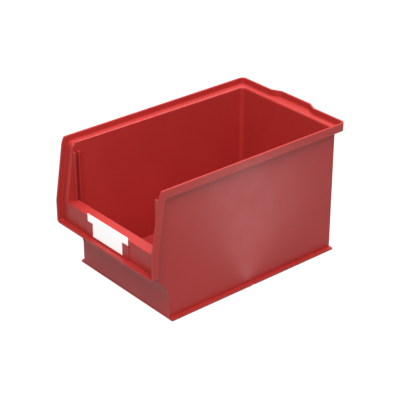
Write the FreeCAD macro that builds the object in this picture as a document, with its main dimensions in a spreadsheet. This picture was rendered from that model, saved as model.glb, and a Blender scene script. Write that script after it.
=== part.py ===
import FreeCAD, Part
import os
import Sketcher
from FreeCAD import Vector

# An open-fronted storage bin that stacks, moulded in one piece, and the label card that slides
# into its front. X is across the bin, the open front faces -Y, +Z is up, and the origin is on
# the ground under the middle of the bin. Millimetres.

SIZES = {
    # overall
    "overall_width": 210.0,        # across the lips of the two sides
    "overall_length": 343.2,       # from the nose to the back of the hang tab
    "overall_height": 197.0,       # ground to the top of the lip
    # walls and floor
    "wall_thickness": 3.2,
    "floor_thickness": 3.0,
    "side_wall_inset": 10.5,       # from the outside of the side lip to the outside of the side wall
    "rear_wall_inset": 9.2,        # from the back of the rear lip to the outside of the rear wall
    "rear_wall_thickness": 4.6,
    "front_wall_inset": 34.2,      # from the nose to the outside of the lower front wall
    "inner_corner_radius": 6.0,
    "outer_corner_radius": 2.0,
    # rim: a lip standing on a ledge
    "lip_thickness": 3.0,
    "ledge_drop": 8.0,             # from the edge of the lip to the ledge and to the label panel
    "ledge_thickness": 4.0,        # under the ledge, on the sides and at the rear
    "frame_thickness": 2.0,        # the same behind the leaning front edges
    "rim_corner_radius": 8.0,
    "top_corner_radius": 16.0,     # side view, where the top turns down into the front edge
    "nose_corner_radius": 5.0,     # front view, the two lower corners of the front frame
    "front_setback": 14.4,         # how far the front edges lean back at the top
    "kink_height": 107.0,          # where the front edges stop leaning and run straight down
    # hang tab in the middle of the rear lip
    "tab_reach": 7.2,
    "tab_root_width": 87.0,
    "tab_tip_width": 58.0,
    "tab_corner_radius": 5.0,
    # nose: label panel, its top and the cheeks beside it
    "nose_height": 73.2,           # lower edge of the lip under the panel
    "front_top_drop": 0.5,         # the front's flat top lies this far under the kink
    "front_top_depth": 16.6,
    "panel_tail": 3.2,             # the panel runs on this far below the lip
    "cheek_low_height": 45.0,
    "cheek_radius": 30.0,
    # flange along the foot, which drops into the rim of the bin below
    "stack_clearance": 1.1,        # between the foot and the lip, on each side
    "foot_toe": 0.4,               # in front of the front wall
    "foot_thickness": 3.0,
    # ribs that hold a slide-in front pane
    "rib_thickness": 2.0,
    "rib_reach": 5.8,
    "rib_top_drop": 11.0,          # from the ledge down to the top of the ribs
    "rib_lead": 2.2,               # the slot starts this far in front of the edge of the front's top
    "pane_slot": 5.0,
    # label card and its rails
    "card_width": 87.5,
    "card_height": 32.8,
    "card_thickness": 0.5,
    "card_gap": 0.15,              # in front of the card and behind it
    "card_side_gap": 0.5,
    "rail_proud": 1.0,
    "rail_cover": 11.25,           # how far each upright rail covers the card
    "rail_seat": 1.75,             # rail material beside the pocket
    "rail_height": 21.8,
    "rail_bottom_height": 2.5,     # the low rail across the bottom
}

SPARE = 20.0                       # how far a cutting or trimming solid runs past what it trims


def makeSheet(doc):
    sheet = doc.addObject("Spreadsheet::Sheet", "Sizes")
    for row, (alias, value) in enumerate(SIZES.items(), start=1):
        sheet.set("A%d" % row, alias.replace("_", " "))
        sheet.set("B%d" % row, str(value))
        sheet.setAlias("B%d" % row, alias)
    doc.recompute()
    return sheet


# Places worked out from the sizes, written as expressions.

FRONT = "(-Sizes.overall_length / 2)"
TAB_BACK = "(Sizes.overall_length / 2)"
REAR = "(Sizes.overall_length / 2 - Sizes.tab_reach)"
PANEL = "(-Sizes.overall_length / 2 + Sizes.ledge_drop)"
TOP = "Sizes.overall_height"
LEDGE = "(Sizes.overall_height - Sizes.ledge_drop)"
HALF_WIDTH = "(Sizes.overall_width / 2)"
LIP_INSIDE = "(Sizes.overall_width / 2 - Sizes.lip_thickness)"
REAR_WALL = "(%s - Sizes.rear_wall_inset)" % REAR
FRONT_WALL = "(%s + Sizes.front_wall_inset)" % FRONT
REAR_INSIDE = "(%s - Sizes.rear_wall_thickness)" % REAR_WALL
FRONT_INSIDE = "(%s + Sizes.wall_thickness)" % FRONT_WALL
BODY_HALF = "(%s - Sizes.side_wall_inset)" % HALF_WIDTH
INSIDE_HALF = "(%s - Sizes.wall_thickness)" % BODY_HALF
FRONT_TOP = "(Sizes.kink_height - Sizes.front_top_drop)"
FRONT_TOP_BACK = "(%s + Sizes.front_top_depth)" % PANEL
NOSE_SHELF = "(Sizes.nose_height + Sizes.lip_thickness)"
LIP_HEIGHT = "(Sizes.ledge_drop + Sizes.ledge_thickness)"
FRAME_DEPTH = "(Sizes.ledge_drop + Sizes.frame_thickness)"
POCKET_HALF = "(Sizes.card_width / 2 + Sizes.card_side_gap)"
LEAN = "(Sizes.front_setback / (Sizes.overall_height - Sizes.kink_height))"
LEAN_LENGTH = "sqrt(1 + %s * %s)" % (LEAN, LEAN)
TAB_SLOPE = "(Sizes.tab_reach / (Sizes.tab_root_width / 2 - Sizes.tab_tip_width / 2))"
TAB_INSET = "(Sizes.lip_thickness * (sqrt(1 + %s * %s) - 1) / %s)" % (TAB_SLOPE, TAB_SLOPE, TAB_SLOPE)
FAR_BACK = "(%s + %s)" % (TAB_BACK, SPARE)
FAR_FRONT = "(%s - %s)" % (FRONT, SPARE)
FAR_UP = "(%s + %s)" % (TOP, SPARE)


def topPoint(inset, drop):
    """Side view: where a line parallel to the leaning front edge meets a level line under the top."""
    run = "(Sizes.overall_height - %s - Sizes.kink_height) * %s" % (drop, LEAN)
    return ("%s + %s + %s * %s" % (FRONT, run, inset, LEAN_LENGTH), "%s - %s" % (TOP, drop))


def kinkPoint(inset):
    """Side view: where the inset front edge stops leaning and turns straight down."""
    return ("%s + %s" % (FRONT, inset),
            "Sizes.kink_height - %s * (%s - 1) / %s" % (inset, LEAN_LENGTH, LEAN))


def makeBody(doc, name):
    return doc.addObject("PartDesign::Body", name)


def originPlane(body, role):
    for feature in body.Origin.OriginFeatures:
        if feature.Role == role:
            return feature
    raise ValueError("no origin plane " + role)


def makeSketch(body, name, role, points, height=None):
    """A closed outline of straight lines, each corner tied to two expressions of the sheet."""
    sketch = body.newObject("Sketcher::SketchObject", name)
    sketch.AttachmentSupport = [(originPlane(body, role), "")]
    sketch.MapMode = "FlatFace"
    if height is not None:
        sketch.setExpression("AttachmentOffset.Base.z", height)
    corners = []
    for across, up in points:
        corners.append(Vector(float(sketch.evalExpression(across)), float(sketch.evalExpression(up)), 0))
    count = len(corners)
    for index in range(count):
        sketch.addGeometry(Part.LineSegment(corners[index], corners[(index + 1) % count]), False)
    for index in range(count):
        following = (index + 1) % count
        sketch.addConstraint(Sketcher.Constraint("Coincident", index, 2, following, 1))
    for index, (across, up) in enumerate(points):
        bindCorner(sketch, "DistanceX", index, corners[index].x, across)
        bindCorner(sketch, "DistanceY", index, corners[index].y, up)
    return sketch


def bindCorner(sketch, kind, index, value, expression):
    number = sketch.addConstraint(Sketcher.Constraint(kind, -1, 1, index, 1, value))
    name = "%s%d" % (kind, index)
    sketch.renameConstraint(number, name)
    sketch.setExpression("Constraints." + name, expression)


def pad(body, sketch, length, symmetric=False):
    feature = body.newObject("PartDesign::Pad", sketch.Name + "Pad")
    feature.Profile = sketch
    feature.setExpression("Length", length)
    if symmetric:
        feature.SideType = "Symmetric"
    body.Document.recompute()
    return feature


def planPrism(doc, name, points, bottom, height):
    body = makeBody(doc, name)
    pad(body, makeSketch(body, name + "Plan", "XY_Plane", points, bottom), height)
    return body


def sidePrism(doc, name, points, width):
    body = makeBody(doc, name)
    pad(body, makeSketch(body, name + "Side", "YZ_Plane", points), width, symmetric=True)
    return body


def frontPrism(doc, name, points):
    body = makeBody(doc, name)
    sketch = makeSketch(body, name + "Front", "XZ_Plane", points)
    pad(body, sketch, "Sizes.overall_length + 4 * %s" % SPARE, symmetric=True)
    return body


def edgesThrough(shape, direction, places):
    """Names of the straight edges along direction (0, 1 or 2) that pass the given places."""
    names = []
    for number, edge in enumerate(shape.Edges, start=1):
        if len(edge.Vertexes) != 2:
            continue
        ends = [list(vertex.Point) for vertex in edge.Vertexes]
        others = [axis for axis in range(3) if axis != direction]
        if any(abs(ends[0][axis] - ends[1][axis]) > 0.001 for axis in others):
            continue
        spot = [ends[0][axis] for axis in others]
        if any(abs(spot[0] - a) < 0.01 and abs(spot[1] - b) < 0.01 for a, b in places):
            names.append("Edge%d" % number)
    return names


def roundEdges(body, direction, places, radius):
    """Fillet the tip's edges along one axis, found by where they are in the other two."""
    base = body.Tip
    sheet = body.Document.getObject("Sizes")
    spots = [(float(sheet.evalExpression(a)), float(sheet.evalExpression(b))) for a, b in places]
    names = edgesThrough(base.Shape, direction, spots)
    if len(names) != len(places):
        raise ValueError("%s: %d of %d edges found" % (body.Name, len(names), len(places)))
    feature = body.newObject("PartDesign::Fillet", body.Name + "Fillet")
    feature.Base = (base, names)
    feature.setExpression("Radius", radius)
    body.Document.recompute()
    return feature


def bothSides(points):
    """The points, then their mirror images in reverse, so that the outline closes."""
    return points + [("-(%s)" % across, up) for across, up in reversed(points)]


def frontView(doc, name, half, bottom, radius):
    """Front view of the frame: upright sides and a level bottom with rounded corners."""
    prism = frontPrism(doc, name, bothSides([(half, FAR_UP), (half, bottom)]))
    roundEdges(prism, 1, [(half, bottom), ("-" + half, bottom)], radius)
    return prism


def combine(doc, kind, name, parts):
    """A Part boolean: Part::MultiCommon, Part::MultiFuse, or Part::Cut of two."""
    result = doc.addObject(kind, name)
    if kind == "Part::Cut":
        result.Base, result.Tool = parts
    else:
        result.Shapes = parts
    doc.recompute()
    return result


def makeRimBand(doc):
    """The lip with its ledge behind it, still solid across the bin: a band along the top edge,
    down the leaning front edges and round the nose."""
    plan_points = [("Sizes.tab_tip_width / 2", TAB_BACK), ("Sizes.tab_root_width / 2", REAR),
                   (HALF_WIDTH, REAR), (HALF_WIDTH, FRONT)]
    plan = planPrism(doc, "RimPlan", bothSides(plan_points), "0", FAR_UP)
    roundEdges(plan, 2, [(HALF_WIDTH, REAR), ("-" + HALF_WIDTH, REAR)], "Sizes.rim_corner_radius")
    corners = plan_points[:2] + [("-(%s)" % across, along) for across, along in plan_points[:2]]
    roundEdges(plan, 2, corners, "Sizes.tab_corner_radius")

    outer_top, outer_kink = topPoint("0", "0"), kinkPoint("0")
    inner_top, inner_kink = topPoint(FRAME_DEPTH, LIP_HEIGHT), kinkPoint(FRAME_DEPTH)
    side = sidePrism(doc, "RimSide", [
        (FAR_BACK, TOP), outer_top, outer_kink, (FRONT, "Sizes.nose_height"),
        (FRONT + " + " + FRAME_DEPTH, "Sizes.nose_height"), inner_kink, inner_top,
        (FAR_BACK, TOP + " - " + LIP_HEIGHT)], "Sizes.overall_width + %s" % SPARE)
    roundEdges(side, 0, [outer_top], "Sizes.top_corner_radius")
    front = frontView(doc, "RimFront", HALF_WIDTH, "Sizes.nose_height", "Sizes.nose_corner_radius")
    return combine(doc, "Part::MultiCommon", "RimBand", [plan, side, front])


def makeTub(doc):
    """Walls and floor as one solid block, with the cheeks that carry the nose."""
    plan = planPrism(doc, "TubPlan", bothSides([(BODY_HALF, REAR_WALL), (BODY_HALF, PANEL)]),
                     "0", TOP)
    roundEdges(plan, 2, [(BODY_HALF, REAR_WALL), ("-" + BODY_HALF, REAR_WALL)],
               "Sizes.outer_corner_radius")
    cheek_low = (FRONT_WALL, "Sizes.cheek_low_height")
    side = sidePrism(doc, "TubSide", [
        (FAR_BACK, "0"), (FRONT_WALL, "0"), cheek_low, (PANEL, "Sizes.nose_height - Sizes.panel_tail"),
        kinkPoint("Sizes.ledge_drop"), topPoint("Sizes.ledge_drop", "Sizes.ledge_drop"),
        (FAR_BACK, LEDGE)], "Sizes.overall_width")
    roundEdges(side, 0, [cheek_low], "Sizes.cheek_radius")
    return combine(doc, "Part::MultiCommon", "Tub", [plan, side])


def makeFoot(doc):
    half = LIP_INSIDE + " - Sizes.stack_clearance"
    return planPrism(doc, "Foot", bothSides([(half, REAR_WALL), (half, FRONT_WALL + " - Sizes.foot_toe")]),
                     "0", "Sizes.foot_thickness")


def makeRails(doc):
    """Low rails on the label panel, left, right and below; the card slides down behind them."""
    body = makeBody(doc, "Rails")
    outer, inner = "(%s + Sizes.rail_seat)" % POCKET_HALF, "(Sizes.card_width / 2 - Sizes.rail_cover)"
    face, root = PANEL + " - Sizes.rail_proud", PANEL + " + Sizes.wall_thickness"
    for name, left, right, height in (
            ("LeftRail", "-" + outer, "-" + inner, "Sizes.rail_height"),
            ("RightRail", inner, outer, "Sizes.rail_height"),
            ("BottomRail", "-" + outer, outer, "Sizes.rail_bottom_height")):
        sketch = makeSketch(body, name, "XY_Plane", [
            (left, face), (right, face), (right, root), (left, root)], NOSE_SHELF)
        pad(body, sketch, height)
    return body


def makeRecess(doc, rails):
    """What is cut away to leave the lip standing on its ledge, and the panel behind it."""
    plan = planPrism(doc, "RecessPlan", bothSides([
        ("Sizes.tab_tip_width / 2 - " + TAB_INSET, TAB_BACK + " - Sizes.lip_thickness"),
        ("Sizes.tab_root_width / 2 - " + TAB_INSET, REAR + " - Sizes.lip_thickness"),
        (LIP_INSIDE, REAR + " - Sizes.lip_thickness"), (LIP_INSIDE, FAR_FRONT)]), "0", FAR_UP)
    rear_corners = [(sign + LIP_INSIDE, REAR + " - Sizes.lip_thickness") for sign in ("", "-")]
    roundEdges(plan, 2, rear_corners, "Sizes.rim_corner_radius - Sizes.lip_thickness")
    ledge_top = topPoint("Sizes.ledge_drop", "Sizes.ledge_drop")
    side = sidePrism(doc, "RecessSide", [
        (FAR_BACK, FAR_UP), (FAR_FRONT, FAR_UP), (FAR_FRONT, NOSE_SHELF), (PANEL, NOSE_SHELF),
        kinkPoint("Sizes.ledge_drop"), ledge_top, (FAR_BACK, LEDGE)], "Sizes.overall_width")
    roundEdges(side, 0, [ledge_top], "Sizes.top_corner_radius - Sizes.ledge_drop")
    front = frontView(doc, "RecessFront", LIP_INSIDE, NOSE_SHELF,
                      "Sizes.nose_corner_radius - Sizes.lip_thickness")
    block = combine(doc, "Part::MultiCommon", "RecessBlock", [plan, side, front])
    return combine(doc, "Part::Cut", "Recess", [block, rails])


def makePaneRibs(doc):
    """Two upright ribs inside each side wall; a front pane slides down between them."""
    body = makeBody(doc, "PaneRibs")
    reach = INSIDE_HALF + " - Sizes.rib_reach"
    root = INSIDE_HALF + " + Sizes.wall_thickness / 2"
    slot_front = FRONT_TOP_BACK + " - Sizes.rib_lead"
    slot_back = slot_front + " + Sizes.pane_slot"
    for name, front, back in (("FrontRib", slot_front + " - Sizes.rib_thickness", slot_front),
                              ("BackRib", slot_back, slot_back + " + Sizes.rib_thickness")):
        for side, sign in (("Left", "-"), ("Right", "")):
            sketch = makeSketch(body, side + name, "XY_Plane", [
                (sign + "(%s)" % root, front), (sign + "(%s)" % root, back),
                (sign + "(%s)" % reach, back), (sign + "(%s)" % reach, front)])
            pad(body, sketch, LEDGE + " - Sizes.rib_top_drop")
    return body


def makeCavity(doc, ribs):
    """The inside of the bin and the wide opening over the front wall, less the pane ribs."""
    plan = planPrism(doc, "CavityPlan", bothSides([(INSIDE_HALF, REAR_INSIDE),
                                                   (INSIDE_HALF, FAR_FRONT)]), "0", FAR_UP)
    roundEdges(plan, 2, [(INSIDE_HALF, REAR_INSIDE), ("-" + INSIDE_HALF, REAR_INSIDE)],
               "Sizes.inner_corner_radius")
    side = sidePrism(doc, "CavitySide", [
        (FAR_BACK, "Sizes.floor_thickness"), (FRONT_INSIDE, "Sizes.floor_thickness"),
        (FRONT_INSIDE, "Sizes.cheek_low_height"), (FRONT_TOP_BACK, FRONT_TOP), (FAR_FRONT, FRONT_TOP),
        (FAR_FRONT, FAR_UP), (FAR_BACK, FAR_UP)], "Sizes.overall_width")
    block = combine(doc, "Part::MultiCommon", "CavityBlock", [plan, side])
    return combine(doc, "Part::Cut", "Cavity", [block, ribs])


def makeNoseHollow(doc):
    """The space inside the nose, open below: between the panel, its top and the front wall."""
    under_top = FRONT_TOP + " - Sizes.wall_thickness"
    wall_front_top = FRONT_TOP_BACK + " - Sizes.wall_thickness"
    behind_panel = PANEL + " + Sizes.wall_thickness"
    return sidePrism(doc, "NoseHollow", [
        (behind_panel, under_top), (wall_front_top, under_top),
        (FRONT_WALL, "Sizes.cheek_low_height"), (FRONT_WALL, "Sizes.cheek_low_height / 2"),
        (behind_panel, "Sizes.cheek_low_height / 2")], "2 * " + INSIDE_HALF)


def makeCardSlot(doc):
    """The shallow pocket in the label panel that the card slides down into."""
    front, back = PANEL + " - Sizes.card_gap", PANEL + " + Sizes.card_thickness + Sizes.card_gap"
    return planPrism(doc, "CardSlot", bothSides([(POCKET_HALF, back), (POCKET_HALF, front)]),
                     NOSE_SHELF, "Sizes.card_height + %s" % SPARE)


def makeBin(doc):
    rails = makeRails(doc)
    block = combine(doc, "Part::MultiFuse", "BinBlock", [makeRimBand(doc), makeTub(doc), makeFoot(doc)])
    cutters = [makeRecess(doc, rails), makeCavity(doc, makePaneRibs(doc)), makeNoseHollow(doc),
               makeCardSlot(doc)]
    hollows = combine(doc, "Part::MultiFuse", "BinHollows", cutters)
    result = combine(doc, "Part::Cut", "BinBody", [block, hollows])
    result.Label = "bin_body"
    return result


def makeCard(doc):
    half = "Sizes.card_width / 2"
    body = planPrism(doc, "Card", bothSides([(half, "Sizes.card_thickness"), (half, "0")]), "0",
                     "Sizes.card_height")
    body.Label = "label_card"
    body.setExpression("Placement.Base.y", PANEL)
    body.setExpression("Placement.Base.z", NOSE_SHELF)
    return body


def checkAndExport(doc, pieces):
    for thing in doc.Objects:
        if "Invalid" in thing.State or "Error" in thing.State:
            raise RuntimeError("%s failed: %s" % (thing.Name, thing.State))
    for piece in pieces:
        shape = piece.Shape
        if shape.isNull() or not shape.isValid() or len(shape.Solids) != 1:
            raise RuntimeError("%s is not one valid solid" % piece.Label)
    os.makedirs("parts", exist_ok=True)
    for piece in pieces:
        piece.Shape.exportStep("parts/%s.step" % piece.Label)
        box = piece.Shape.BoundBox
        print("%s: %.1f x %.1f x %.1f mm, %.1f cm3, z from %.2f" % (
            piece.Label, box.XLength, box.YLength, box.ZLength, piece.Shape.Volume / 1000, box.ZMin))


def main():
    doc = FreeCAD.newDocument("StackableBin")
    makeSheet(doc)
    pieces = [makeBin(doc), makeCard(doc)]
    doc.recompute()
    checkAndExport(doc, pieces)


main()
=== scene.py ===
import math

import bpy
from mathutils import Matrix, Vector


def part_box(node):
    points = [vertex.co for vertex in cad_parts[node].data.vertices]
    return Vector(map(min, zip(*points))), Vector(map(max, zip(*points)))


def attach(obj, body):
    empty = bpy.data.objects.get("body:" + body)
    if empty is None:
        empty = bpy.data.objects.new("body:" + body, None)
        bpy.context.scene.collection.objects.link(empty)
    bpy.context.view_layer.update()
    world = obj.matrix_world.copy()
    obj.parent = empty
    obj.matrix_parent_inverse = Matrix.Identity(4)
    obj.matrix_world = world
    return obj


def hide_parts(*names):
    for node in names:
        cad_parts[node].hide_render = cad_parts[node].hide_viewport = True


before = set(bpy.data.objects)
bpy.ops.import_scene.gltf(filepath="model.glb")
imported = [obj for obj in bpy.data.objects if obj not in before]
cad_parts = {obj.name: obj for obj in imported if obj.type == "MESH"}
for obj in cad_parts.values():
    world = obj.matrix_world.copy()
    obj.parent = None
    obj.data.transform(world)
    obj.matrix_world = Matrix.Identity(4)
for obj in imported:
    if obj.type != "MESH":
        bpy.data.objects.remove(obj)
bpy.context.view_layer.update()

low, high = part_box("bin_body")
cardLow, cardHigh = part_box("label_card")

mm = 0.001
spare = 20 * mm                        # how far a cutting block runs past what it cuts
closeBy = 0.02 * mm                    # two places nearer than this are the same one
smoothAngle = math.radians(35)
front = low.y
rear = high.y - 7.2 * mm               # back of the rear lip, without the hang tab
top = high.z
halfWidth = high.x

# What the moulding is made to. Insets run from the outside of the lip.
moulding = {
    "lip": 3.0 * mm,
    "ledgeDrop": 8.0 * mm,
    "ledgeThickness": 4.0 * mm,
    "frameThickness": 2.0 * mm,
    "wall": 3.2 * mm,
    "floor": 3.0 * mm,
    "sideInset": 10.5 * mm,
    "rearInset": 9.2 * mm,
    "rearWall": 4.6 * mm,
    "frontInset": 34.2 * mm,
    "kink": 107.0 * mm,
    "setback": 14.4 * mm,
    "nose": 73.2 * mm,
    "frontTopDepth": 16.6 * mm,
    "cheekLow": 45.0 * mm,
    "cheekTop": 70.0 * mm,
    "overlap": 4.0 * mm,               # how deep joined blocks run into each other
}
tab = {"root": 87.0 * mm, "tip": 58.0 * mm}
radii = {
    "rimCorner": 8.0 * mm,
    "topCorner": 16.0 * mm,
    "noseCorner": 5.0 * mm,
    "tabCorner": 5.0 * mm,
    "cheek": 30.0 * mm,
    "insideCorner": 6.0 * mm,
    "outsideCorner": 2.0 * mm,
    "floorCorner": 3.0 * mm,
    "ledgeEdge": 3.0 * mm,
    "edge": 0.55 * mm,
}

ledge = top - moulding["ledgeDrop"]
panel = front + moulding["ledgeDrop"]
lipInside = halfWidth - moulding["lip"]
wallOutside = halfWidth - moulding["sideInset"]
wallInside = wallOutside - moulding["wall"]
rearOutside = rear - moulding["rearInset"]
rearInside = rearOutside - moulding["rearWall"]
frontOutside = front + moulding["frontInset"]
frontInside = frontOutside + moulding["wall"]
frontTopBack = panel + moulding["frontTopDepth"]
noseShelf = moulding["nose"] + moulding["lip"]
lean = moulding["setback"] / (top - moulding["kink"])
leanTurn = math.pi / 2 - math.atan(lean)
# the plane of the leaning frame meets the upright panel here, and the front's flat top with them
frontTop = moulding["kink"] - moulding["ledgeDrop"] * (math.hypot(1, lean) - 1) / lean


# Modelling helpers

def startFresh(piece=None):
    if bpy.context.object and bpy.context.object.mode != "OBJECT":
        bpy.ops.object.mode_set(mode="OBJECT")
    bpy.ops.object.select_all(action="DESELECT")
    if piece:
        piece.select_set(True)
        bpy.context.view_layer.objects.active = piece


def addBlock(name, lowCorner, highCorner):
    startFresh()
    lowCorner, highCorner = Vector(lowCorner), Vector(highCorner)
    bpy.ops.mesh.primitive_cube_add(size=1, location=(lowCorner + highCorner) / 2)
    block = bpy.context.object
    block.name = name
    block.scale = highCorner - lowCorner
    bpy.ops.object.transform_apply(location=True, rotation=False, scale=True)
    return block


def pickFaces(piece, wanted):
    startFresh(piece)
    bpy.ops.object.mode_set(mode="EDIT")
    bpy.ops.mesh.select_mode(type="FACE")
    bpy.ops.mesh.select_all(action="DESELECT")
    bpy.ops.object.mode_set(mode="OBJECT")
    for face in piece.data.polygons:
        face.select = wanted(face.center, face.normal)
    bpy.ops.object.mode_set(mode="EDIT")


def pickEdges(piece, wanted):
    startFresh(piece)
    bpy.ops.object.mode_set(mode="EDIT")
    bpy.ops.mesh.select_mode(type="EDGE")
    bpy.ops.mesh.select_all(action="DESELECT")
    bpy.ops.object.mode_set(mode="OBJECT")
    points = piece.data.vertices
    count = 0
    for edge in piece.data.edges:
        edge.select = wanted(points[edge.vertices[0]].co, points[edge.vertices[1]].co)
        count += edge.select
    if not count:
        raise ValueError("no edge found on " + piece.name)
    bpy.ops.object.mode_set(mode="EDIT")


def near(value, target):
    return abs(value - target) < closeBy


def alongX(y, z):
    return lambda a, b: near(a.y, y) and near(b.y, y) and near(a.z, z) and near(b.z, z)


def alongY(x, z):
    return lambda a, b: near(abs(a.x), x) and near(a.x, b.x) and near(a.z, z) and near(b.z, z)


def alongZ(x, y):
    return lambda a, b: near(abs(a.x), x) and near(a.x, b.x) and near(a.y, y) and near(b.y, y)


def roundEdges(piece, wanted, radius, segments, turn=math.pi / 2):
    pickEdges(piece, wanted)
    bpy.ops.mesh.bevel(offset=radius * math.tan(turn / 2), offset_type="OFFSET", segments=segments,
                       profile=0.5, affect="EDGES", clamp_overlap=False)
    startFresh(piece)


def extrudeFace(piece, wanted, move):
    pickFaces(piece, wanted)
    bpy.ops.mesh.extrude_region_move(TRANSFORM_OT_translate={"value": move})
    startFresh(piece)


def moveEdge(piece, wanted, move):
    pickEdges(piece, wanted)
    bpy.ops.transform.translate(value=move)
    startFresh(piece)


def combine(piece, other, how):
    startFresh(piece)
    bpy.ops.object.modifier_add(type="BOOLEAN")
    tool = piece.modifiers[-1]
    tool.operation = how
    tool.object = other
    tool.solver = "EXACT"
    bpy.ops.object.modifier_apply(modifier=tool.name)
    bpy.data.objects.remove(other)
    return piece


def softenEdges(piece, width):
    startFresh(piece)
    bpy.ops.object.modifier_add(type="BEVEL")
    soften = piece.modifiers[-1]
    soften.width = width
    soften.segments = 3
    soften.limit_method = "ANGLE"
    soften.angle_limit = smoothAngle
    soften.use_clamp_overlap = False
    bpy.ops.object.modifier_apply(modifier=soften.name)


def facesUp(centre, normal):
    return normal.z > 0.9


# The moulding

def makeRim():
    # lip and skirt along the top, and the front frame with its leaning sides, still solid across
    depth = moulding["ledgeDrop"] + moulding["frameThickness"]
    rim = addBlock("bin_finish", (-halfWidth, front, moulding["nose"]),
                   (halfWidth, front + depth, moulding["kink"]))
    extrudeFace(rim, facesUp, (0, moulding["setback"], top - moulding["kink"]))
    skirt = ledge - moulding["ledgeThickness"]
    band = addBlock("band", (-halfWidth, front + moulding["setback"] + moulding["overlap"], skirt),
                    (halfWidth, rear, top))
    combine(rim, band, "UNION")
    roundEdges(rim, alongX(front + moulding["setback"], top), radii["topCorner"], 14, leanTurn)
    roundEdges(rim, alongZ(halfWidth, rear), radii["rimCorner"], 8)
    roundEdges(rim, alongY(halfWidth, moulding["nose"]), radii["noseCorner"], 6)
    combine(rim, makeTab("tab", 0, skirt, top), "UNION")
    return rim


def makeTab(name, inset, bottom, height):
    # trapezoid block behind the rear lip
    reach = high.y - rear
    slope = reach / (tab["root"] - tab["tip"]) * 2
    side = inset * (math.hypot(1, slope) - 1) / slope
    root = tab["root"] / 2 - side
    tip = tab["tip"] / 2 - side
    back = high.y - inset
    block = addBlock(name, (-root, rear - moulding["lip"] + 0.5 * mm - inset, bottom),
                     (root, rear - inset, height))
    extrudeFace(block, lambda centre, normal: normal.y > 0.9, (0, back - (rear - inset), 0))
    pickFaces(block, lambda centre, normal: normal.y > 0.9)
    bpy.ops.transform.resize(value=(tip / root, 1, 1), center_override=(0, back, 0))
    startFresh(block)
    turn = math.atan(slope)
    roundEdges(block, alongZ(tip, back), radii["tabCorner"], 5, turn)
    return block


def makeTub():
    # walls, floor and nose as one block; the underside of the nose is cut away first
    tub = addBlock("tub", (-wallOutside, front + moulding["overlap"], 0),
                   (wallOutside, rearOutside, ledge + moulding["overlap"]))
    roundEdges(tub, alongZ(wallOutside, rearOutside), radii["outsideCorner"], 4)
    under = addBlock("under", (-halfWidth, front - spare, -spare),
                     (halfWidth, frontOutside, moulding["cheekLow"]))
    extrudeFace(under, facesUp, (0, 0, moulding["cheekTop"] - moulding["cheekLow"]))
    moveEdge(under, alongX(frontOutside, moulding["cheekTop"]), (0, panel - frontOutside, 0))
    slopeTurn = math.atan2(frontOutside - panel, moulding["cheekTop"] - moulding["cheekLow"])
    roundEdges(under, alongX(frontOutside, moulding["cheekLow"]), radii["cheek"], 14, slopeTurn)
    extrudeFace(under, facesUp, (0, 0, moulding["nose"] + 1 * mm - moulding["cheekTop"]))
    combine(tub, under, "DIFFERENCE")
    above = addBlock("above", (-halfWidth, front - spare, moulding["nose"] + 1 * mm),
                     (halfWidth, front + 5 * mm, moulding["kink"]))
    extrudeFace(above, facesUp, (0, moulding["setback"] * 1.1, (top - moulding["kink"]) * 1.1))
    combine(tub, above, "DIFFERENCE")
    return tub


def makeRecess():
    # what is cut away to leave the lip standing on its ledge, and the label panel behind it
    recess = addBlock("recess", (-lipInside, front - spare, noseShelf), (lipInside, panel, moulding["kink"]))
    run = top + spare - moulding["kink"]
    moveEdge(recess, alongX(panel, moulding["kink"]), (0, 0, frontTop - moulding["kink"]))
    extrudeFace(recess, lambda centre, normal: normal.z > 0.2, (0, lean * run, run))
    over = addBlock("over", (-lipInside, front - spare, ledge),
                    (lipInside, rear - moulding["lip"], top + 2 * spare))
    roundEdges(over, alongZ(lipInside, rear - moulding["lip"]), radii["rimCorner"] - moulding["lip"], 6)
    combine(recess, over, "UNION")
    cornerY = front + (ledge - moulding["kink"]) * lean + moulding["ledgeDrop"] * math.hypot(1, lean)
    roundEdges(recess, alongX(cornerY, ledge), radii["topCorner"] - moulding["ledgeDrop"], 10, leanTurn)
    roundEdges(recess, alongY(lipInside, noseShelf), radii["noseCorner"] - moulding["lip"], 4)
    combine(recess, makeTab("tabRecess", moulding["lip"], ledge, top + spare), "UNION")
    return recess


def makeCavity():
    # the inside of the bin, and the wide opening over the front wall
    cavity = addBlock("cavity", (-wallInside, frontInside, moulding["floor"]),
                      (wallInside, rearInside, moulding["cheekLow"]))
    extrudeFace(cavity, facesUp, (0, 0, frontTop - moulding["cheekLow"]))
    moveEdge(cavity, alongX(frontInside, frontTop), (0, frontTopBack - frontInside, 0))
    extrudeFace(cavity, facesUp, (0, 0, top + spare - frontTop))
    roundEdges(cavity, alongZ(wallInside, rearInside), radii["insideCorner"], 8)
    opening = addBlock("opening", (-wallInside, front - spare, frontTop),
                       (wallInside, frontTopBack + spare, top + spare))
    combine(cavity, opening, "UNION")
    pickEdges(cavity, lambda a, b: near(a.z, moulding["floor"]) and near(b.z, moulding["floor"]))
    bpy.ops.mesh.bevel(offset=radii["floorCorner"], offset_type="OFFSET", segments=4, profile=0.5,
                       affect="EDGES", clamp_overlap=False)
    startFresh(cavity)
    return cavity


def makeNoseHollow():
    # the space in the nose, open below
    wall = moulding["wall"]
    hollow = addBlock("hollow", (-wallInside, panel + wall, moulding["cheekLow"] / 2),
                      (wallInside, frontOutside, moulding["cheekLow"]))
    extrudeFace(hollow, facesUp, (0, 0, frontTop - wall - moulding["cheekLow"]))
    moveEdge(hollow, alongX(frontOutside, frontTop - wall), (0, frontTopBack - wall - frontOutside, 0))
    return hollow


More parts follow.
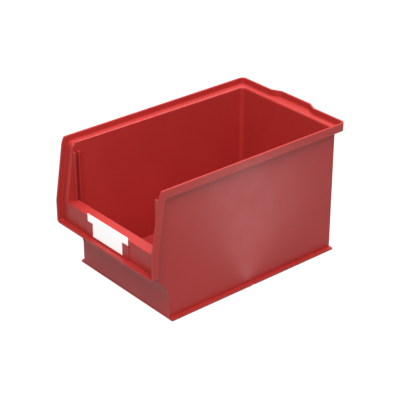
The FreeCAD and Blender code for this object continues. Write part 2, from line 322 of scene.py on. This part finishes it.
def onLeaningEdge(a, b):
    # the inner edge of the front frame, from the front's top up round the corner of the ledge
    def onIt(point):
        inset = point.y - front - max(0, point.z - moulding["kink"]) * lean
        return near(abs(point.x), wallInside) and point.z > frontTop - 0.1 * mm and inset < 16 * mm
    return onIt(a) and onIt(b) and abs(a.z - b.z) > 0.1 * mm


def onLedgeEdge(a, b):
    def onIt(point):
        across = abs(point.x) < wallInside + closeBy
        return near(point.z, ledge) and across and point.y < rearInside + closeBy
    return onIt(a) and onIt(b)


def makeBody():
    body = combine(makeRim(), makeTub(), "UNION")
    print("rim and tub", len(body.data.polygons))
    combine(body, makeRecess(), "DIFFERENCE")
    combine(body, makeCavity(), "DIFFERENCE")
    combine(body, makeNoseHollow(), "DIFFERENCE")
    print("hollowed", len(body.data.polygons))
    startFresh(body)
    bpy.ops.object.mode_set(mode="EDIT")
    bpy.ops.mesh.select_all(action="SELECT")
    bpy.ops.mesh.remove_doubles(threshold=0.01 * mm)
    bpy.ops.mesh.dissolve_limited(angle_limit=math.radians(0.5))
    startFresh(body)
    pickEdges(body, lambda a, b: onLedgeEdge(a, b) or onLeaningEdge(a, b))
    bpy.ops.mesh.bevel(offset=radii["ledgeEdge"], offset_type="OFFSET", segments=5, profile=0.5,
                       affect="EDGES", clamp_overlap=False)
    startFresh(body)
    softenEdges(body, radii["edge"])
    print("edges rounded", len(body.data.polygons))
    return body


# The small features, joined on once the big edges are round

small = {
    "edge": 0.4 * mm,
    "ribThickness": 2.0 * mm,
    "ribReach": 5.8 * mm,
    "ribDrop": 11.0 * mm,              # from the ledge down to the top of the ribs
    "slotLead": 2.2 * mm,
    "slotWidth": 5.0 * mm,
    "railProud": 1.0 * mm,
    "railCover": 11.25 * mm,
    "railSeat": 1.75 * mm,
    "railHeight": 21.8 * mm,
    "bottomRail": 2.5 * mm,
    "cardGap": 0.15 * mm,
    "cardSideGap": 0.5 * mm,
    "stackClearance": 1.1 * mm,
    "toe": 0.4 * mm,
    "footHeight": 3.0 * mm,
    "footCorner": 1.5 * mm,
}


def addRibs(body):
    # two upright ribs inside each wall, with a slot between them for a front pane
    slotFront = frontTopBack - small["slotLead"]
    ribs = ((slotFront - small["ribThickness"], frontTop - 1.5 * mm),
            (slotFront + small["slotWidth"], frontTop - 26 * mm))
    for side in (-1, 1):
        edges = sorted((side * (wallInside - small["ribReach"]), side * (wallInside + 1 * mm)))
        for y, bottom in ribs:
            rib = addBlock("rib", (edges[0], y, bottom),
                           (edges[1], y + small["ribThickness"], ledge - small["ribDrop"]))
            softenEdges(rib, small["edge"])
            combine(body, rib, "UNION")


def addRails(body):
    # rails beside and below the card, and the pocket that it slides down into
    pocket = cardHigh.x + small["cardSideGap"]
    outer = pocket + small["railSeat"]
    inner = cardHigh.x - small["railCover"]
    face = panel - small["railProud"]
    rails = addBlock("rails", (-outer, face, noseShelf - 1 * mm),
                     (outer, panel + 1 * mm, noseShelf + small["railHeight"]))
    window = addBlock("window", (-inner, face - 1 * mm, noseShelf + small["bottomRail"]),
                      (inner, panel + 2 * mm, noseShelf + spare * 2))
    combine(rails, window, "DIFFERENCE")
    softenEdges(rails, small["edge"] / 2)
    combine(body, rails, "UNION")
    slot = addBlock("slot", (-pocket, cardLow.y - small["cardGap"], noseShelf),
                    (pocket, cardHigh.y + small["cardGap"], frontTop + spare))
    combine(body, slot, "DIFFERENCE")


def addFoot(body):
    # the flange that stands inside the lip of the bin below
    half = lipInside - small["stackClearance"]
    foot = addBlock("foot", (-half, frontOutside - small["toe"], low.z),
                    (half, rearOutside, small["footHeight"]))
    roundEdges(foot, lambda a, b: near(a.x, b.x) and near(a.y, b.y), small["footCorner"], 4)
    softenEdges(foot, small["edge"])
    combine(body, foot, "UNION")


body = makeBody()
addRibs(body)
addRails(body)
addFoot(body)
print("ribs, rails and foot", len(body.data.polygons))
startFresh(body)
bpy.ops.object.shade_smooth_by_angle(angle=smoothAngle)
bpy.ops.object.modifier_add(type="WEIGHTED_NORMAL")
body.modifiers[-1].keep_sharp = True
bpy.ops.object.modifier_apply(modifier=body.modifiers[-1].name)
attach(body, "bin")
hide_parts("bin_body")


# Materials

def newMaterial(name):
    material = bpy.data.materials.new(name)
    material.use_nodes = True
    return material, material.node_tree.nodes, material.node_tree.links


def addNoise(nodes, links, place, scale, detail):
    noise = nodes.new("ShaderNodeTexNoise")
    noise.inputs["Scale"].default_value = scale
    noise.inputs["Detail"].default_value = detail
    links.new(place, noise.inputs["Vector"])
    return noise.outputs["Fac"]


def addRange(nodes, links, value, lowest, highest):
    spread = nodes.new("ShaderNodeMapRange")
    spread.inputs["From Min"].default_value = 0.3
    spread.inputs["From Max"].default_value = 0.7
    spread.inputs["To Min"].default_value = lowest
    spread.inputs["To Max"].default_value = highest
    links.new(value, spread.inputs["Value"])
    return spread.outputs["Result"]


def addColours(nodes, links, value, first, second):
    ramp = nodes.new("ShaderNodeValToRGB")
    ramp.color_ramp.elements[0].position = 0.3
    ramp.color_ramp.elements[0].color = (*first, 1)
    ramp.color_ramp.elements[1].position = 0.7
    ramp.color_ramp.elements[1].color = (*second, 1)
    links.new(value, ramp.inputs["Fac"])
    return ramp.outputs["Color"]


def addBump(nodes, links, height, depth, below=None):
    bump = nodes.new("ShaderNodeBump")
    bump.inputs["Strength"].default_value = 0.6
    bump.inputs["Distance"].default_value = depth
    links.new(height, bump.inputs["Height"])
    if below:
        links.new(below, bump.inputs["Normal"])
    return bump.outputs["Normal"]


plastic = {
    "red": (0.46, 0.034, 0.030),
    "deepRed": (0.43, 0.030, 0.027),
    "cloudScale": 14,                  # per metre, as are the other scales
    "patchScale": 45,
    "gloss": 0.25,
    "smoothest": 0.36,
    "roughest": 0.44,
    "grainScale": 1500,
    "grainDepth": 0.02 * mm,
    "waveScale": 18,
    "waveDepth": 0.25 * mm,
}


def redPlastic():
    # moulded polypropylene: a fine matt grain over walls that are a little uneven
    material, nodes, links = newMaterial("redPolypropylene")
    shader = nodes["Principled BSDF"]
    shader.inputs["Specular IOR Level"].default_value = plastic["gloss"]
    place = nodes.new("ShaderNodeTexCoord").outputs["Object"]
    clouds = addNoise(nodes, links, place, plastic["cloudScale"], 3)
    links.new(addColours(nodes, links, clouds, plastic["deepRed"], plastic["red"]),
              shader.inputs["Base Color"])
    patches = addNoise(nodes, links, place, plastic["patchScale"], 4)
    links.new(addRange(nodes, links, patches, plastic["smoothest"], plastic["roughest"]),
              shader.inputs["Roughness"])
    swell = addNoise(nodes, links, place, plastic["waveScale"], 1)
    waves = addBump(nodes, links, swell, plastic["waveDepth"])
    grain = addNoise(nodes, links, place, plastic["grainScale"], 2)
    links.new(addBump(nodes, links, grain, plastic["grainDepth"], waves), shader.inputs["Normal"])
    return material


paper = {
    "white": (0.95, 0.95, 0.94),
    "shade": (0.91, 0.91, 0.90),
    # painted glow: emission that makes the card look more brightly lit than it is
    "glow": 0.35,
    "fibreScale": 2200,                # per metre
    "fibreDepth": 0.02 * mm,
}


def glowingWhitePaper():
    # white card stock with a fine fibre, and a painted glow: the card emits light of its own, so it reads
    # brighter than the lamps alone make it
    material, nodes, links = newMaterial("whiteCard")
    shader = nodes["Principled BSDF"]
    shader.inputs["Roughness"].default_value = 0.85
    # painted light: the card glows white by emission, standing in for bright light on it
    shader.inputs["Emission Color"].default_value = (1, 1, 1, 1)
    shader.inputs["Emission Strength"].default_value = paper["glow"]
    place = nodes.new("ShaderNodeTexCoord").outputs["Object"]
    fibres = addNoise(nodes, links, place, paper["fibreScale"], 5)
    links.new(addColours(nodes, links, fibres, paper["shade"], paper["white"]), shader.inputs["Base Color"])
    links.new(addBump(nodes, links, fibres, paper["fibreDepth"]), shader.inputs["Normal"])
    return material


def paint(piece, material):
    piece.data.materials.clear()
    piece.data.materials.append(material)


paint(body, redPlastic())
paint(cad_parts["label_card"], glowingWhitePaper())
print("materials")


# Floor, light and camera

stage = {
    "size": 8,
    "drop": 0.2 * mm,                  # below the foot of the bin
    "grey": 0.05,
    "glow": 1,
    "wedgeScale": (0.09, 0.28, 1),
    "wedgeTurn": math.radians(132.4),
    "wedgePlace": (0.307, 0.191, 0.1 * mm),
    "wedgeGlow": 4,
}


def glowingMaterial(name, grey, roughness, glow):
    material, nodes = newMaterial(name)[:2]
    shader = nodes["Principled BSDF"]
    shader.inputs["Base Color"].default_value = (grey, grey, grey, 1)
    shader.inputs["Roughness"].default_value = roughness
    shader.inputs["Emission Color"].default_value = (1, 1, 1, 1)
    shader.inputs["Emission Strength"].default_value = glow
    return material


def finishStagePiece(piece, name, material):
    # it shows white, and lights the object only by reflection
    piece.name = name
    bpy.ops.object.transform_apply(location=True, rotation=True, scale=True)
    piece.data.materials.append(material)
    piece.visible_diffuse = False


def makeStage():
    startFresh()
    bpy.ops.mesh.primitive_plane_add(size=stage["size"], location=(0, 0, -stage["drop"]))
    white = glowingMaterial("paleFloor", stage["grey"], 0.9, stage["glow"])
    finishStagePiece(bpy.context.object, "floor", white)


def makeGlowStrip():
    # a bright wedge on the floor beside the right wall, seen in the wall as a soft upright band
    startFresh()
    bpy.ops.mesh.primitive_circle_add(vertices=3, radius=1, fill_type="NGON")
    wedge = bpy.context.object
    wedge.scale = stage["wedgeScale"]
    wedge.rotation_euler = (0, 0, stage["wedgeTurn"])
    wedge.location = stage["wedgePlace"]
    finishStagePiece(wedge, "glowStrip", glowingMaterial("glow", 0.8, 0.5, stage["wedgeGlow"]))


lights = {
    "sky": 0.33,
    "aim": (0, 0, 0.1),
    "size": 1.6,
    "overhead": {"place": (-0.5, 0.8, 2.2), "power": 58},
    "fill": {"place": (0.9, -0.8, 1.6), "power": 36},
}


def addLight(name):
    data = bpy.data.lights.new(name, "AREA")
    data.size = lights["size"]
    data.energy = lights[name]["power"]
    light = bpy.data.objects.new(name, data)
    bpy.context.collection.objects.link(light)
    light.location = lights[name]["place"]
    towards = Vector(lights["aim"]) - Vector(lights[name]["place"])
    light.rotation_euler = towards.to_track_quat("-Z", "Y").to_euler()


def makeLights():
    world = bpy.data.worlds.new("studio")
    bpy.context.scene.world = world
    world.use_nodes = True
    sky = world.node_tree.nodes["Background"]
    sky.inputs["Color"].default_value = (1, 1, 1, 1)
    sky.inputs["Strength"].default_value = lights["sky"]
    addLight("overhead")
    addLight("fill")


camera = {
    "azimuth": 49.94,
    "elevation": 27.81,
    "place": (1.2511, -1.0581, 0.9554),
    "lens": 121.3,
    "sensor": 36,
    "farthest": 50,
}


def makeCamera():
    data = bpy.data.cameras.new("camera")
    data.lens = camera["lens"]
    data.sensor_width = camera["sensor"]
    data.clip_end = camera["farthest"]
    view = bpy.data.objects.new("camera", data)
    bpy.context.collection.objects.link(view)
    view.location = camera["place"]
    view.rotation_euler = (math.radians(90 - camera["elevation"]), 0, math.radians(camera["azimuth"]))
    bpy.context.scene.camera = view


makeStage()
makeGlowStrip()
makeLights()
makeCamera()
bpy.context.scene.view_settings.view_transform = "Standard"
print("stage, lights and camera")
